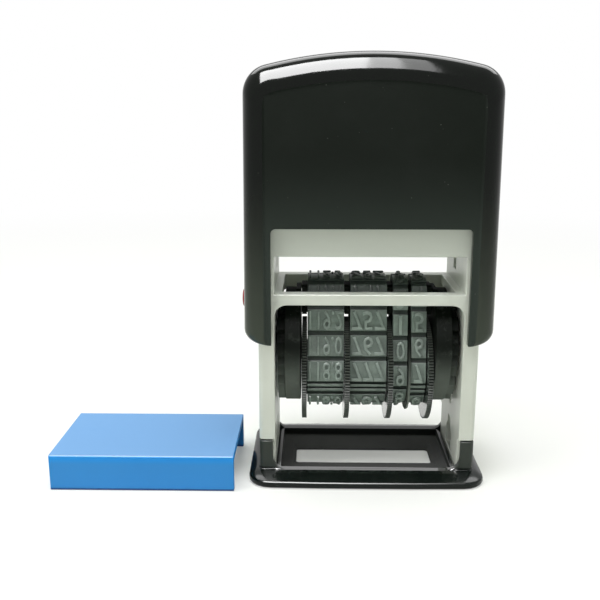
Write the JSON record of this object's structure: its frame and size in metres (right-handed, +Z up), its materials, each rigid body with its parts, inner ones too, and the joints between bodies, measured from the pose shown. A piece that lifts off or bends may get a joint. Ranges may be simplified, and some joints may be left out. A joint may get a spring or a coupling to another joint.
{
  "type": "self-inking date stamp",
  "caption": "Self-inking date stamp: a sprung hood over a skeleton frame turns over a print unit with rubber date bands and setting wheels; its ink pad lies beside it.",
  "frame": {"origin": "middle of the box round stamp and ink pad together, on the surface they stand on", "axes": "+X to the right along the date line, from the ink pad to the stamp; +Y from the pictured side to the rear; +Z up, against the press"},
  "size_m": [0.0826, 0.0298, 0.0784],
  "materials": {
    "black_plastic": "gloss",
    "unit_plastic": "satin",
    "grey_plastic": "satin",
    "red_plastic": "gloss",
    "bright_steel": "drawn wire",
    "band_rubber": "matt",
    "blue_plastic": "satin",
    "inked_felt": "matt"
  },
  "bodies": {
    "base": {"base_foot": "black_plastic", "skeleton_frame": "grey_plastic", "return_spring": "bright_steel"},
    "hood": {"hood_shell": "black_plastic"},
    "print_unit": {"cheek_left": "unit_plastic", "cheek_right": "unit_plastic", "wheel_axle": "bright_steel", "band_bridge": "unit_plastic", "band_divider": "unit_plastic", "date_band_1": "band_rubber", "date_band_2": "band_rubber", "date_band_3": "band_rubber", "date_band_4": "band_rubber"},
    "wheel_1": {"setting_wheel_1": "unit_plastic"},
    "wheel_2": {"setting_wheel_2": "unit_plastic"},
    "wheel_3": {"setting_wheel_3": "unit_plastic"},
    "wheel_4": {"setting_wheel_4": "unit_plastic"},
    "button_left": {"lock_button_left": "red_plastic"},
    "button_right": {"lock_button_right": "red_plastic"},
    "ink_pad": {"ink_pad_tray": "blue_plastic", "ink_pad_felt": "inked_felt"}
  },
  "joints": [
    {"name": "press", "type": "slide", "parent": "base", "child": "hood", "axis": [0, 0, -1], "range_m": [0, 0.0117], "stiffness_N_per_m": 500, "springref_m": -0.008, "deforming": ["return_spring"]},
    {"name": "flip", "type": "hinge", "parent": "hood", "child": "print_unit", "pos_m": [0.01755, 0.00047, 0.025], "axis": [1, 0, 0], "range_deg": [0, 180]},
    {"name": "wheel_1_turn", "type": "hinge", "parent": "print_unit", "child": "wheel_1", "pos_m": [0.01755, 0.00047, 0.01925], "axis": [1, 0, 0], "continuous": true},
    {"name": "wheel_2_turn", "type": "hinge", "parent": "print_unit", "child": "wheel_2", "pos_m": [0.01755, 0.00047, 0.01925], "axis": [1, 0, 0], "continuous": true},
    {"name": "wheel_3_turn", "type": "hinge", "parent": "print_unit", "child": "wheel_3", "pos_m": [0.01755, 0.00047, 0.01925], "axis": [1, 0, 0], "continuous": true},
    {"name": "wheel_4_turn", "type": "hinge", "parent": "print_unit", "child": "wheel_4", "pos_m": [0.01755, 0.00047, 0.01925], "axis": [1, 0, 0], "continuous": true},
    {"name": "lock_left", "type": "slide", "parent": "hood", "child": "button_left", "axis": [1, 0, 0], "range_m": [0, 0.001], "stiffness_N_per_m": 400, "springref_m": -0.0005},
    {"name": "lock_right", "type": "slide", "parent": "hood", "child": "button_right", "axis": [-1, 0, 0], "range_m": [0, 0.001], "stiffness_N_per_m": 400, "springref_m": -0.0005},
    {"name": "pad_lift", "type": "slide", "parent": "base", "child": "ink_pad", "axis": [0, 0, 1], "range_m": [0, 0.02]}
  ],
  "couplings": [
    {"joint": "flip", "follows": "press", "rad_per_m": 268.5}
  ]
}
